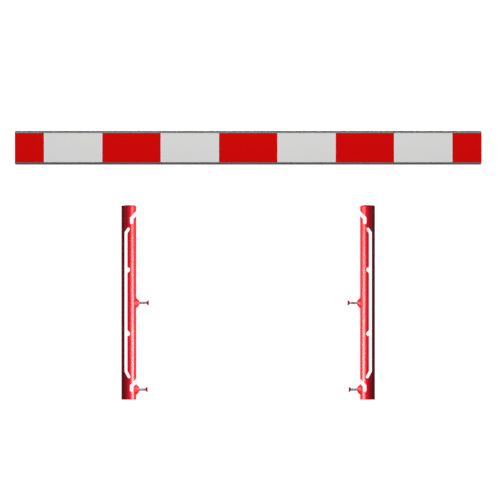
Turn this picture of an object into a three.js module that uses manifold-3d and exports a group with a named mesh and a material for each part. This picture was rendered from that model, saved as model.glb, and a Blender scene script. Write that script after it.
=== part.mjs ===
// Parking barrier gate: a striped barrier board that hangs by two threaded hangers in the J-slots
// of two slotted tubular posts. Millimetres, +Z up, X along the board, the striped face towards -Y.
// The origin lies midway between the posts, at the level of their bottom rims. The board is shown
// lifted clear of its slots. The right post is the left post turned half a turn about Z.

import * as THREE from "three";
import { mergeVertices } from "three/addons/utils/BufferGeometryUtils.js";
import Module from "manifold-3d";

const wasm = await Module();
wasm.setup();

// Barrier board: an aluminium hollow profile with full-round edges
const BOARD_LENGTH = 2000;
const BOARD_HEIGHT = 145;
const BOARD_THICKNESS = 20;
const BOARD_WALL = 1.6;
const EDGE_RADIUS = BOARD_THICKNESS / 2;
const CORNER_CHAMFER = 3.4;
const BOARD_CENTRE_Y = -54.8;
const BOARD_CENTRE_Z = 1080;

// Retroreflective film, laid in a shallow recess of the front face
const FIELD_LENGTH = BOARD_LENGTH / 8;
const FILM_HEIGHT = 125;
const FILM_THICKNESS = 0.5;
const FILM_RECESS = 0.9;

// T-channel along the middle of the board's rear face
const CHANNEL_MOUTH = 13;
const CHANNEL_WIDTH = 23;
const CHANNEL_DEPTH = 9.5;
const CHANNEL_LIP = 2.5;
const PLUG_DEPTH = 12;

// Posts: round tube with slots cut through both walls
const POST_SPACING = 1024;
const TUBE_RADIUS = 31.75;
const TUBE_BORE_RADIUS = 28.75;
const POST_HEIGHT = 835;
const CAP_HEAD = 6;
const CAP_CROWN_WIDTH = 9;
const CAP_STEM = 14;
const CAP_WALL = 2.5;

// J-slots that take the hangers: a vertical seat, then a slanted way out of the post's inner side
const J_SLOT_WIDTH = 15;
const J_SEAT_OFFSET = 12;
const J_SEAT_HEIGHT = 760;
const J_BEND_RISE = 18;
const J_MOUTH_ANGLE = THREE.MathUtils.degToRad(46);
const J_SLOT_PITCH = 720;

// Long slot with slanted ends, and the two notches beside it
const LONG_SLOT_WIDTH = 13;
const LONG_SLOT_OFFSET = -12.3;
const LONG_SLOT_BOTTOM = 121.5;
const LONG_SLOT_TOP = 715.5;
const LONG_SLOT_TOP_END = { run: 10.2, rise: 15.5 };
const LONG_SLOT_LOW_END = { run: 12.7, rise: -24 };
const NOTCH_RADIUS = 8;
const NOTCH_FLAT = 2;
const NOTCH_OFFSET = -2.9;
const UPPER_NOTCH_HEIGHT = 566.6;
const LOWER_NOTCH_HEIGHT = 273.6;

// M12 hardware
const THREAD_RADIUS = 6;
const BORE_CLEARANCE = 0.3;
const HEX_ACROSS_FLATS = 18;
const GAP = 0.3;

// Clamp screws: M12 x 60, through a weld nut on the inner side of each post
const MIDDLE_SCREW_HEIGHT = 415;
const LOW_SCREW_HEIGHT = 43.5;
const MIDDLE_SCREW_REACH = 85.75;
const LOW_SCREW_REACH = 80.5;
const SCREW_LENGTH = 60;
const SCREW_HEAD_LENGTH = 9;
const SCREW_HEAD_RADIUS = 11.8;
const SCREW_SOCKET_FLATS = 8;
const SCREW_SOCKET_DEPTH = 5;
const WELD_NUT_HEIGHT = 13;
const BEAD_BASE_RADIUS = 23;
const BEAD_TOP_RADIUS = 12.8;
const BEAD_HEIGHT = 10.5;

// Hangers: T-head bolt, flange nut, washer and wing nut
const HANGER_OFFSET = 473;
const HANGER_TAIL_Y = 61;
const T_HEAD_THICKNESS = 6;
const T_HEAD_WIDTH = 12;
const T_HEAD_SPAN = 21.8;
const FLANGE_RADIUS = 13;
const FLANGE_THICKNESS = 3;
const FLANGE_NUT_HEIGHT = 12;
const WASHER_RADIUS = 18.5;
const WASHER_THICKNESS = 3;
const WASHER_Y = 38.5;
const WING_HUB_HEIGHT = 14;
const WING_HUB_RADIUS = 11.5;
const WING_SPAN = 31;
const WING_RISE = 25;
const WING_THICKNESS = 4.5;

const TUBE_SEGMENTS = 36;
const ROUND_SEGMENTS = 20;

// Materials

const paintedMetal = (color) => new THREE.MeshStandardMaterial({ color, roughness: 0.28, metalness: 0.1 });
const zincPlate = () => new THREE.MeshStandardMaterial({ color: 0xc3ccd2, roughness: 0.35, metalness: 0.9 });
const aluminium = () => new THREE.MeshStandardMaterial({ color: 0x9aa3a3, roughness: 0.4, metalness: 0.9 });
const film = (color) => new THREE.MeshStandardMaterial({ color, roughness: 0.55, metalness: 0 });
const plastic = (color) => new THREE.MeshStandardMaterial({ color, roughness: 0.5, metalness: 0 });

const RED_PAINT = 0xe1042f;
const RED_FILM = 0xc90000;
const WHITE_FILM = 0xd5d5d5;
const DARK_PLASTIC = 0x2c2f30;

// Solids and booleans

function solidOf(geometry) {
  const bare = geometry.clone();
  bare.deleteAttribute("normal");
  bare.deleteAttribute("uv");
  const merged = mergeVertices(bare, 1e-4);
  return new wasm.Manifold(
    new wasm.Mesh({
      numProp: 3,
      vertProperties: merged.attributes.position.array,
      triVerts: new Uint32Array(merged.index.array),
    }),
  );
}

function geometryOf(solid) {
  const mesh = solid.getMesh();
  const geometry = new THREE.BufferGeometry();
  geometry.setAttribute("position", new THREE.BufferAttribute(new Float32Array(mesh.vertProperties), 3));
  geometry.setIndex(new THREE.BufferAttribute(new Uint32Array(mesh.triVerts), 1));
  geometry.computeVertexNormals();
  return geometry;
}

function piece(name, solid, material) {
  const mesh = new THREE.Mesh(geometryOf(solid), material);
  mesh.name = name;
  return mesh;
}

// A shape drawn in (first, second) coordinates, extruded from `start` to `end` along an axis:
// "x" draws in (y, z), "y" draws in (x, z) and "z" draws in (x, y).
function extruded(shape, axis, start, end, curveSegments = ROUND_SEGMENTS) {
  const geometry = new THREE.ExtrudeGeometry(shape, {
    depth: end - start,
    bevelEnabled: false,
    curveSegments,
  });
  const turn = new THREE.Matrix4();
  if (axis === "x") {
    turn.makeBasis(new THREE.Vector3(0, 1, 0), new THREE.Vector3(0, 0, 1), new THREE.Vector3(1, 0, 0));
    turn.setPosition(start, 0, 0);
  } else if (axis === "y") {
    turn.makeBasis(new THREE.Vector3(1, 0, 0), new THREE.Vector3(0, 0, 1), new THREE.Vector3(0, -1, 0));
    turn.setPosition(0, end, 0);
  } else {
    turn.setPosition(0, 0, start);
  }
  return solidOf(geometry.applyMatrix4(turn));
}

// A profile of [radius, height] points, from low to high outside and back inside, turned about an axis.
function lathed(profile, axis, segments = ROUND_SEGMENTS) {
  const geometry = new THREE.LatheGeometry(
    profile.map(([radius, height]) => new THREE.Vector2(radius, height)),
    segments,
  );
  if (axis === "x") geometry.rotateZ(-Math.PI / 2);
  if (axis === "z") geometry.rotateX(Math.PI / 2);
  return solidOf(geometry);
}

function hexagon(acrossFlats) {
  const shape = new THREE.Shape();
  for (let corner = 0; corner < 6; corner++) {
    const angle = (corner * Math.PI) / 3;
    const radius = acrossFlats / 2 / Math.cos(Math.PI / 6);
    const point = [radius * Math.cos(angle), radius * Math.sin(angle)];
    if (corner === 0) shape.moveTo(...point);
    else shape.lineTo(...point);
  }
  shape.closePath();
  return shape;
}

// A hexagonal nut along an axis from `start` to `end`, its corners chamfered at both ends.
function hexNut(axis, start, end, acrossFlats) {
  const face = acrossFlats / 2 - 0.4;
  const corner = acrossFlats / 2 / Math.cos(Math.PI / 6) + 0.1;
  const chamfer = (corner - face) * Math.tan(Math.PI / 6);
  const envelope = lathed(
    [
      [0, start],
      [face, start],
      [corner, start + chamfer],
      [corner, end - chamfer],
      [face, end],
      [0, end],
    ],
    axis,
  );
  return extruded(hexagon(acrossFlats), axis, start, end).intersect(envelope);
}

function rod(axis, radius, start, end, segments = ROUND_SEGMENTS) {
  const profile = [
    [0, start],
    [radius, start],
    [radius, end],
    [0, end],
  ];
  return lathed(profile, axis, segments);
}

function moved(solid, x, y, z) {
  return solid.translate([x, y, z]);
}

// Barrier board

function boardOutline() {
  const half = EDGE_RADIUS;
  const centre = BOARD_HEIGHT / 2 - EDGE_RADIUS;
  const mouth = CHANNEL_MOUTH / 2;
  const channel = CHANNEL_WIDTH / 2;
  const lip = half - CHANNEL_LIP;
  const floor = half - CHANNEL_DEPTH;
  const recessFloor = -half + FILM_RECESS;
  const recessHalf = FILM_HEIGHT / 2 + GAP;
  const start = Math.asin((recessHalf - centre) / half);
  const outline = new THREE.Shape();
  outline.moveTo(half, -centre);
  outline.lineTo(half, -mouth);
  outline.lineTo(lip, -mouth);
  outline.lineTo(lip, -channel);
  outline.lineTo(floor, -channel);
  outline.lineTo(floor, channel);
  outline.lineTo(lip, channel);
  outline.lineTo(lip, mouth);
  outline.lineTo(half, mouth);
  outline.lineTo(half, centre);
  outline.absarc(0, centre, half, 0, Math.PI - start, false);
  outline.lineTo(recessFloor, recessHalf);
  outline.lineTo(recessFloor, -recessHalf);
  outline.absarc(0, -centre, half, Math.PI + start, 2 * Math.PI, false);
  return outline;
}

// The board's hollow, or with a clearance, the plug that fits in it.
function hollowOutline(shape, clearance) {
  const wall = BOARD_WALL + clearance;
  const radius = EDGE_RADIUS - wall;
  const rear = EDGE_RADIUS - wall;
  const front = -EDGE_RADIUS + FILM_RECESS + wall;
  const centre = BOARD_HEIGHT / 2 - EDGE_RADIUS;
  const channel = CHANNEL_WIDTH / 2 + wall;
  const floor = EDGE_RADIUS - CHANNEL_DEPTH - wall;
  const turn = Math.acos(-front / radius);
  shape.moveTo(rear, -centre);
  shape.lineTo(rear, -channel);
  shape.lineTo(floor, -channel);
  shape.lineTo(floor, channel);
  shape.lineTo(rear, channel);
  shape.lineTo(rear, centre);
  shape.absarc(0, centre, radius, 0, Math.PI - turn, false);
  shape.absarc(0, -centre, radius, Math.PI + turn, 2 * Math.PI, false);
  return shape;
}

// A wedge that takes the corner off the board's end, along its whole thickness.
function cornerWedge(endSign, edgeSign) {
  const x = (endSign * BOARD_LENGTH) / 2;
  const z = (edgeSign * BOARD_HEIGHT) / 2;
  const reach = CORNER_CHAMFER * 2;
  const wedge = new THREE.Shape([
    new THREE.Vector2(x - endSign * CORNER_CHAMFER, z),
    new THREE.Vector2(x, z - edgeSign * reach),
    new THREE.Vector2(x + endSign * reach, z - edgeSign * reach),
    new THREE.Vector2(x + endSign * reach, z + edgeSign * reach),
    new THREE.Vector2(x - endSign * CORNER_CHAMFER, z + edgeSign * reach),
  ]);
  return extruded(wedge, "y", -BOARD_THICKNESS, BOARD_THICKNESS);
}

function boardProfile() {
  const section = boardOutline();
  section.holes.push(hollowOutline(new THREE.Path(), 0));
  let solid = extruded(section, "x", -BOARD_LENGTH / 2, BOARD_LENGTH / 2, 12);
  for (const endSign of [-1, 1])
    for (const edgeSign of [-1, 1]) solid = solid.subtract(cornerWedge(endSign, edgeSign));
  return solid;
}

function endPlug(endSign) {
  const outer = (endSign * BOARD_LENGTH) / 2;
  const inner = outer - endSign * PLUG_DEPTH;
  const section = hollowOutline(new THREE.Shape(), GAP);
  let solid = extruded(section, "x", Math.min(outer, inner), Math.max(outer, inner), 12);
  for (const edgeSign of [-1, 1]) solid = solid.subtract(cornerWedge(endSign, edgeSign));
  return solid;
}

// Nine sheets of film: a half field at each end, and whole fields between them.
function filmSheets() {
  const back = -EDGE_RADIUS + FILM_RECESS - GAP;
  const sheets = [];
  for (let field = 0; field < 9; field++) {
    const centre = (field - 4) * FIELD_LENGTH;
    const start = Math.max(centre - FIELD_LENGTH / 2 + GAP / 2, -BOARD_LENGTH / 2);
    const end = Math.min(centre + FIELD_LENGTH / 2 - GAP / 2, BOARD_LENGTH / 2);
    const box = new THREE.BoxGeometry(end - start, FILM_THICKNESS, FILM_HEIGHT);
    box.translate((start + end) / 2, back - FILM_THICKNESS / 2, 0);
    const red = field % 2 === 0;
    const number = Math.floor(field / 2) + 1;
    const name = (red ? "film_red_" : "film_white_") + number;
    sheets.push(piece(name, solidOf(box), film(red ? RED_FILM : WHITE_FILM)));
  }
  return sheets;
}

function barrierBoard() {
  const board = new THREE.Group();
  board.add(
    piece("board_profile", boardProfile(), aluminium()),
    piece("board_end_plug_left", endPlug(-1), plastic(DARK_PLASTIC)),
    piece("board_end_plug_right", endPlug(1), plastic(DARK_PLASTIC)),
    ...filmSheets(),
  );
  board.position.set(0, BOARD_CENTRE_Y, BOARD_CENTRE_Z);
  return board;
}

// Hangers, drawn about their own axis along Y

function hangerBolt() {
  const floor = BOARD_CENTRE_Y + EDGE_RADIUS - CHANNEL_DEPTH;
  const headStart = floor + GAP;
  const headEnd = headStart + T_HEAD_THICKNESS;
  const head = new THREE.BoxGeometry(T_HEAD_WIDTH, T_HEAD_THICKNESS, T_HEAD_SPAN);
  head.translate(0, (headStart + headEnd) / 2, 0);
  const tip = 1.2;
  const shank = lathed(
    [
      [0, headStart],
      [THREAD_RADIUS, headStart],
      [THREAD_RADIUS, HANGER_TAIL_Y - tip],
      [THREAD_RADIUS - tip, HANGER_TAIL_Y],
      [0, HANGER_TAIL_Y],
    ],
    "y",
  );
  return solidOf(head).add(shank);
}

function flangeNut() {
  const start = BOARD_CENTRE_Y + EDGE_RADIUS + GAP;
  const end = start + FLANGE_NUT_HEIGHT;
  const flange = lathed(
    [
      [0, start],
      [FLANGE_RADIUS - 0.6, start],
      [FLANGE_RADIUS, start + 0.6],
      [FLANGE_RADIUS, start + 1.4],
      [HEX_ACROSS_FLATS / 2, start + FLANGE_THICKNESS + 1],
      [0, start + FLANGE_THICKNESS + 1],
    ],
    "y",
  );
  return flange
    .add(hexNut("y", start + 1, end, HEX_ACROSS_FLATS))
    .subtract(rod("y", THREAD_RADIUS + BORE_CLEARANCE, start - 1, end + 1));
}

function washer() {
  const bore = THREAD_RADIUS + 0.5;
  const end = WASHER_Y + WASHER_THICKNESS;
  const edge = 0.4;
  return lathed(
    [
      [bore, WASHER_Y],
      [WASHER_RADIUS - edge, WASHER_Y],
      [WASHER_RADIUS, WASHER_Y + edge],
      [WASHER_RADIUS, end - edge],
      [WASHER_RADIUS - edge, end],
      [bore, end],
      [bore, WASHER_Y],
    ],
    "y",
  );
}

function wingNut() {
  const start = WASHER_Y + WASHER_THICKNESS + GAP;
  const end = start + WING_HUB_HEIGHT;
  const hub = lathed(
    [
      [0, start],
      [WING_HUB_RADIUS, start],
      [WING_HUB_RADIUS, start + 2],
      [WING_HUB_RADIUS - 2.5, end - 1],
      [WING_HUB_RADIUS - 3.5, end],
      [0, end],
    ],
    "y",
  );
  const wing = new THREE.Shape();
  const tipRadius = 6;
  wing.moveTo(0, start + 1);
  wing.lineTo(WING_HUB_RADIUS, start + 1);
  wing.quadraticCurveTo(WING_SPAN, start + 5, WING_SPAN, start + WING_RISE - tipRadius);
  wing.absarc(WING_SPAN - tipRadius, start + WING_RISE - tipRadius, tipRadius, 0, Math.PI * 0.85, false);
  wing.quadraticCurveTo(WING_HUB_RADIUS + 4, end - 3, 0, end - 3);
  wing.closePath();
  const toSide = new THREE.Matrix4().makeTranslation(0, 0, -WING_THICKNESS / 2);
  const blade = new THREE.ExtrudeGeometry(wing, {
    depth: WING_THICKNESS,
    bevelEnabled: false,
    curveSegments: 6,
  }).applyMatrix4(toSide);
  const right = solidOf(blade);
  const left = right.rotate([0, 180, 0]);
  return hub
    .add(right)
    .add(left)
    .subtract(rod("y", THREAD_RADIUS + BORE_CLEARANCE, start - 1, end + 1));
}

function hanger(side, x) {
  const group = new THREE.Group();
  group.add(
    piece(side + "_hanger_bolt", hangerBolt(), zincPlate()),
    piece(side + "_flange_nut", flangeNut(), zincPlate()),
    piece(side + "_washer", washer(), zincPlate()),
    piece(side + "_wing_nut", wingNut(), zincPlate()),
  );
  group.position.set(x, 0, BOARD_CENTRE_Z);
  return group;
}

// Posts, drawn about their own axis, with +X towards the other post

// The outline of a slot of a given width along a bent line, with round ends.
function slotOutline(path, width) {
  const half = width / 2;
  const directions = path.slice(1).map((point, i) => point.clone().sub(path[i]).normalize());
  const side = (sign) =>
    path.map((point, i) => {
      const before = directions[Math.max(i - 1, 0)];
      const after = directions[Math.min(i, directions.length - 1)];
      const along = before.clone().add(after).normalize();
      const out = new THREE.Vector2(-along.y, along.x).multiplyScalar(sign * half);
      const mitre = 1 / along.dot(before);
      return point.clone().addScaledVector(out, mitre);
    });
  const first = directions[0];
  const last = directions[directions.length - 1];
  const headAngle = Math.atan2(last.y, last.x);
  const tailAngle = Math.atan2(first.y, first.x);
  const right = side(-1);
  const left = side(1).reverse();
  const outline = new THREE.Shape();
  outline.moveTo(right[0].x, right[0].y);
  right.slice(1).forEach((point) => outline.lineTo(point.x, point.y));
  const head = path[path.length - 1];
  outline.absarc(head.x, head.y, half, headAngle - Math.PI / 2, headAngle + Math.PI / 2, false);
  left.slice(1).forEach((point) => outline.lineTo(point.x, point.y));
  outline.absarc(path[0].x, path[0].y, half, tailAngle + Math.PI / 2, tailAngle + (3 * Math.PI) / 2, false);
  return outline;
}

function jSlot(seatHeight) {
  const bendHeight = seatHeight + J_BEND_RISE;
  const run = TUBE_RADIUS + J_SLOT_WIDTH - J_SEAT_OFFSET;
  return slotOutline(
    [
      new THREE.Vector2(J_SEAT_OFFSET, seatHeight),
      new THREE.Vector2(J_SEAT_OFFSET, bendHeight),
      new THREE.Vector2(J_SEAT_OFFSET + run, bendHeight + run * Math.tan(J_MOUTH_ANGLE)),
    ],
    J_SLOT_WIDTH,
  );
}

function longSlot() {
  const end = (height, slant) =>
    new THREE.Vector2(LONG_SLOT_OFFSET + slant.run, height + slant.rise);
  return slotOutline(
    [
      end(LONG_SLOT_BOTTOM, LONG_SLOT_LOW_END),
      new THREE.Vector2(LONG_SLOT_OFFSET, LONG_SLOT_BOTTOM),
      new THREE.Vector2(LONG_SLOT_OFFSET, LONG_SLOT_TOP),
      end(LONG_SLOT_TOP, LONG_SLOT_TOP_END),
    ],
    LONG_SLOT_WIDTH,
  );
}

// A notch beside the long slot: its side at `square` is square to the slot, its end is round, and its
// other side, below it where `sign` is 1 and above it where `sign` is -1, lies at 45 degrees.
function notch(square, sign) {
  const near = square - sign * NOTCH_RADIUS;
  const far = near - sign * NOTCH_FLAT;
  const slant = Math.SQRT1_2 * NOTCH_RADIUS;
  const back = NOTCH_OFFSET - LONG_SLOT_OFFSET;
  const shape = new THREE.Shape();
  shape.moveTo(LONG_SLOT_OFFSET, square);
  shape.lineTo(NOTCH_OFFSET, square);
  shape.absarc(NOTCH_OFFSET, near, NOTCH_RADIUS, (sign * Math.PI) / 2, 0, sign > 0);
  shape.absarc(NOTCH_OFFSET, far, NOTCH_RADIUS, 0, (-sign * Math.PI) / 4, sign > 0);
  shape.lineTo(LONG_SLOT_OFFSET, far - sign * (2 * slant + back));
  shape.closePath();
  return shape;
}

function postTube() {
  const ring = new THREE.Shape().absarc(0, 0, TUBE_RADIUS, 0, 2 * Math.PI, false);
  ring.holes.push(new THREE.Path().absarc(0, 0, TUBE_BORE_RADIUS, 0, 2 * Math.PI, true));
  const depth = TUBE_RADIUS + 2;
  let tube = extruded(ring, "z", 0, POST_HEIGHT - CAP_HEAD, TUBE_SEGMENTS);
  const cuts = [
    jSlot(J_SEAT_HEIGHT),
    jSlot(J_SEAT_HEIGHT - J_SLOT_PITCH),
    longSlot(),
    notch(UPPER_NOTCH_HEIGHT, 1),
    notch(LOWER_NOTCH_HEIGHT, -1),
  ];
  for (const cut of cuts) tube = tube.subtract(extruded(cut, "y", -depth, depth, 8));
  for (const height of [MIDDLE_SCREW_HEIGHT, LOW_SCREW_HEIGHT]) {
    const hole = rod("x", THREAD_RADIUS + 2 * BORE_CLEARANCE, 0, depth);
    tube = tube.subtract(moved(hole, 0, 0, height));
  }
  return tube;
}

function postCap() {
  const rim = POST_HEIGHT - CAP_HEAD + GAP;
  const stem = TUBE_BORE_RADIUS - 0.5;
  const foot = rim - CAP_STEM;
  const crownHeight = CAP_HEAD - GAP - 0.6;
  const profile = [
    [0, rim],
    [stem - CAP_WALL, rim],
    [stem - CAP_WALL, foot],
    [stem - 1, foot],
    [stem, foot + 1.5],
    [stem, rim],
    [TUBE_RADIUS, rim],
  ];
  const steps = 4;
  for (let step = 0; step <= steps; step++) {
    const angle = (step / steps) * (Math.PI / 2);
    const radius = TUBE_RADIUS - CAP_CROWN_WIDTH * (1 - Math.cos(angle));
    profile.push([radius, POST_HEIGHT - 0.2 - crownHeight * (1 - Math.sin(angle))]);
  }
  profile.push([0, POST_HEIGHT]);
  return lathed(profile, "z", TUBE_SEGMENTS);
}

function weldNut(height) {
  const start = TUBE_RADIUS + GAP;
  const end = start + WELD_NUT_HEIGHT;
  const nut = hexNut("x", start, end, HEX_ACROSS_FLATS);
  return moved(nut.subtract(rod("x", THREAD_RADIUS + BORE_CLEARANCE, 0, end + 1)), 0, 0, height);
}

// The weld that joins the nut to the tube: a full-sided ring, saddle-shaped where it meets the tube.
function weldBead(height) {
  const inner = HEX_ACROSS_FLATS / 2 / Math.cos(Math.PI / 6) + GAP;
  const root = TUBE_RADIUS - 12;
  const profile = [
    [inner, root],
    [BEAD_BASE_RADIUS, root],
  ];
  const steps = 3;
  for (let step = 0; step <= steps; step++) {
    const part = step / steps;
    const crown = 0.5 * Math.sin(Math.PI * part);
    const radius = BEAD_BASE_RADIUS + (BEAD_TOP_RADIUS - BEAD_BASE_RADIUS) * part + crown;
    profile.push([radius, TUBE_RADIUS + BEAD_HEIGHT * part]);
  }
  profile.push([inner, TUBE_RADIUS + BEAD_HEIGHT], [inner, root]);
  const ring = moved(lathed(profile, "x"), 0, 0, height);
  const tube = rod("z", TUBE_RADIUS + GAP, 0, POST_HEIGHT, TUBE_SEGMENTS);
  return ring.subtract(tube);
}

function clampScrewShank(reach, height) {
  const tip = reach - SCREW_LENGTH;
  const end = reach - SCREW_HEAD_LENGTH - GAP;
  const chamfer = 1.4;
  const shank = lathed(
    [
      [0, tip],
      [THREAD_RADIUS - chamfer, tip],
      [THREAD_RADIUS, tip + chamfer],
      [THREAD_RADIUS, end],
      [0, end],
    ],
    "x",
  );
  return moved(shank, 0, 0, height);
}

function clampScrewHead(reach, height) {
  const start = reach - SCREW_HEAD_LENGTH;
  const rim = 1.6;
  const head = lathed(
    [
      [0, start],
      [THREAD_RADIUS, start],
      [THREAD_RADIUS + 2, start + 2.6],
      [SCREW_HEAD_RADIUS, reach - rim],
      [SCREW_HEAD_RADIUS, reach - 0.5],
      [SCREW_HEAD_RADIUS - 0.5, reach],
      [0, reach],
    ],
    "x",
  );
  const socket = extruded(hexagon(SCREW_SOCKET_FLATS), "x", reach - SCREW_SOCKET_DEPTH, reach + 1);
  return moved(head.subtract(socket), 0, 0, height);
}

function post(side) {
  const group = new THREE.Group();
  const red = () => paintedMetal(RED_PAINT);
  group.add(piece(side + "_post_tube", postTube(), red()), piece(side + "_post_cap", postCap(), plastic(RED_PAINT)));
  const screws = [
    ["middle", MIDDLE_SCREW_HEIGHT, MIDDLE_SCREW_REACH],
    ["low", LOW_SCREW_HEIGHT, LOW_SCREW_REACH],
  ];
  for (const [level, height, reach] of screws) {
    const name = side + "_" + level;
    group.add(
      piece(name + "_weld_nut", weldNut(height), red()),
      piece(name + "_weld_bead", weldBead(height), red()),
      piece(name + "_screw_shank", clampScrewShank(reach, height), zincPlate()),
      piece(name + "_screw_head", clampScrewHead(reach, height), red()),
    );
  }
  return group;
}

const gate = new THREE.Group();
const leftPost = post("left");
leftPost.position.x = -POST_SPACING / 2;
const rightPost = post("right");
rightPost.position.x = POST_SPACING / 2;
rightPost.rotation.z = Math.PI;
gate.add(leftPost, rightPost, barrierBoard(), hanger("left", -HANGER_OFFSET), hanger("right", HANGER_OFFSET));

export default gate;
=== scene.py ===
"""Looks of the parking barrier gate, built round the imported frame.

Pieces are made in millimetres about their own axis and placed in the frame's metres.
Post pieces are drawn with +X towards the other post, so the right post is the left one turned round.
"""

import math

import bmesh
import bpy
import numpy as np
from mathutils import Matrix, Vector
from mathutils.geometry import delaunay_2d_cdt


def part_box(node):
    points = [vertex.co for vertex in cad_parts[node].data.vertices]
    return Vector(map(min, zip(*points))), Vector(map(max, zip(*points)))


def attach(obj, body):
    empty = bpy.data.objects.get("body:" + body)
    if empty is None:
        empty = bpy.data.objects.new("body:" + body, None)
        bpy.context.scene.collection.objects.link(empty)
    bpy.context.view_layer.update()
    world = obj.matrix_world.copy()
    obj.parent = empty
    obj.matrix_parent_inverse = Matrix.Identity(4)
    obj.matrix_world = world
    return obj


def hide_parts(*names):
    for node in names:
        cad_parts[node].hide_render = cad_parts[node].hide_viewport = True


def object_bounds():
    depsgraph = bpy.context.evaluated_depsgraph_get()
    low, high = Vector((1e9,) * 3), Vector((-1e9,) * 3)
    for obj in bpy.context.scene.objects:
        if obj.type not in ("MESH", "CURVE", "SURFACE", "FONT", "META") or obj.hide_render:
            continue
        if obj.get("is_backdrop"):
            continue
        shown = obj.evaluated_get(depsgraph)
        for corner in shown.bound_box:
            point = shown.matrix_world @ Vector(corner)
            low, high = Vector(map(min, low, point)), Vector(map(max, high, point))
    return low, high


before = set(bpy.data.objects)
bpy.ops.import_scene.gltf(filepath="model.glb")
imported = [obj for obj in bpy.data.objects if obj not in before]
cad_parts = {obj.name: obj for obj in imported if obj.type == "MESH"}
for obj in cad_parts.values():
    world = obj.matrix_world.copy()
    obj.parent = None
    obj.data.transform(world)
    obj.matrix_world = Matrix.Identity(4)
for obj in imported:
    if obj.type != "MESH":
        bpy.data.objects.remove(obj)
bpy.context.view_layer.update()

MM = 0.001
SIDES = {"left": 1, "right": -1}  # the way along X to the middle
UP = Vector((0, 0, 1))


def middle(node):
    """The middle of a node's box, in millimetres."""
    low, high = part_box(node)
    return (low + high) / 2 / MM


POST_AXIS = {side: Vector((middle(side + "_post_tube").x, 0, 0)) for side in SIDES}
BOARD = middle("board_profile")
BOARD_SIZE = (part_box("board_profile")[1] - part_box("board_profile")[0]) / MM
HANGER = {side: middle(side + "_hanger_bolt") for side in SIDES}

# ---- lines


def rounded(corners, steps=4, closed=True):
    """A line through (x, y, radius) corners, each corner turned into an arc where its radius isn't 0."""
    line = []
    last = len(corners) - 1
    for i, (x, y, radius) in enumerate(corners):
        here = Vector((x, y))
        if radius <= 0 or (not closed and i in (0, last)):
            line.append(here)
            continue
        back = (Vector(corners[i - 1][:2]) - here).normalized()
        ahead = (Vector(corners[(i + 1) % len(corners)][:2]) - here).normalized()
        half = math.acos(max(-1, min(1, back.dot(ahead)))) / 2
        centre = here + (back + ahead).normalized() * (radius / math.sin(half))
        start = here + back * (radius / math.tan(half)) - centre
        end = here + ahead * (radius / math.tan(half)) - centre
        first = math.atan2(start.y, start.x)
        turn = (math.atan2(end.y, end.x) - first + math.pi) % (2 * math.pi) - math.pi
        for k in range(steps + 1):
            angle = first + turn * k / steps
            line.append(centre + radius * Vector((math.cos(angle), math.sin(angle))))
    return line


def divided(line, step, closed=True):
    """The same line with every part longer than step divided."""
    out = []
    for i, point in enumerate(line):
        out.append(point)
        if not closed and i == len(line) - 1:
            break
        ahead = line[(i + 1) % len(line)]
        parts = math.ceil((ahead - point).length / step)
        out.extend(point.lerp(ahead, k / parts) for k in range(1, parts))
    return out


def inset(line, distance):
    """A closed counter-clockwise line moved inwards, square to itself."""
    out = []
    for i, point in enumerate(line):
        a = (point - line[i - 1]).normalized()
        b = (line[(i + 1) % len(line)] - point).normalized()
        along = (a + b).normalized()
        reach = distance / max(0.3, along.dot(a))
        out.append(point + Vector((-along.y, along.x)) * reach)
    return out


def is_inside(points, outline):
    """For each point, whether it lies in the closed outline."""
    x, y = points[:, :1], points[:, 1:]
    x0, y0 = outline[:, 0], outline[:, 1]
    x1, y1 = np.roll(x0, -1), np.roll(y0, -1)
    crosses = (y0 > y) != (y1 > y)
    rise = np.where(y1 == y0, 1e-12, y1 - y0)
    return (crosses & (x < (x1 - x0) * (y - y0) / rise + x0)).sum(axis=1) % 2 == 1


def distance_to(points, outline):
    """For each point, how far it lies from the closed outline."""
    along = np.roll(outline, -1, axis=0) - outline
    away = points[:, None, :] - outline[None]
    part = np.clip((away * along).sum(2) / np.maximum((along**2).sum(1), 1e-12), 0, 1)
    return np.sqrt(((away - part[..., None] * along) ** 2).sum(2)).min(axis=1)


def in_box_of(points, outline, margin=0.0):
    """The indices of the points in the outline's box, widened by a margin."""
    inside = (points > outline.min(0) - margin) & (points < outline.max(0) + margin)
    return np.nonzero(inside.all(1))[0]


# ---- pieces


def as_mesh(name, bm):
    """The mesh of a bmesh, which is used up."""
    mesh = bpy.data.meshes.new(name)
    bm.to_mesh(mesh)
    bm.free()
    return mesh


def linked(name, data):
    """A new object in the scene."""
    thing = bpy.data.objects.new(name, data)
    bpy.context.scene.collection.objects.link(thing)
    return thing


SHOWN = {}


def show(name, mesh, material, body, node):
    """Puts a finished mesh in the scene, as the piece that replaces a CAD node."""
    mesh.materials.append(material)
    piece = linked(name, mesh)
    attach(piece, body)
    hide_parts(node)
    SHOWN[name] = piece


def outward(bm):
    """Turns all faces outwards."""
    bmesh.ops.recalc_face_normals(bm, faces=bm.faces)


def publish(name, bm, place, material, body, node, sharp=35):
    """Shows a bmesh in millimetres. place takes a point of it into the frame's millimetres."""
    for vert in bm.verts:
        vert.co = place(vert.co) * MM
    bmesh.ops.remove_doubles(bm, verts=bm.verts, dist=1e-7)
    bmesh.ops.dissolve_degenerate(bm, edges=bm.edges, dist=1e-8)
    outward(bm)
    mesh = as_mesh(name, bm)
    mesh.shade_smooth()
    mesh.set_sharp_from_angle(angle=math.radians(sharp))
    show(name, mesh, material, body, node)


def turned_to(centre, sign=1):
    """Places a piece at a centre, turned half a turn about Z if sign is -1."""
    return lambda p: Vector((centre.x + sign * p.x, centre.y + sign * p.y, p.z + centre.z))


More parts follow.
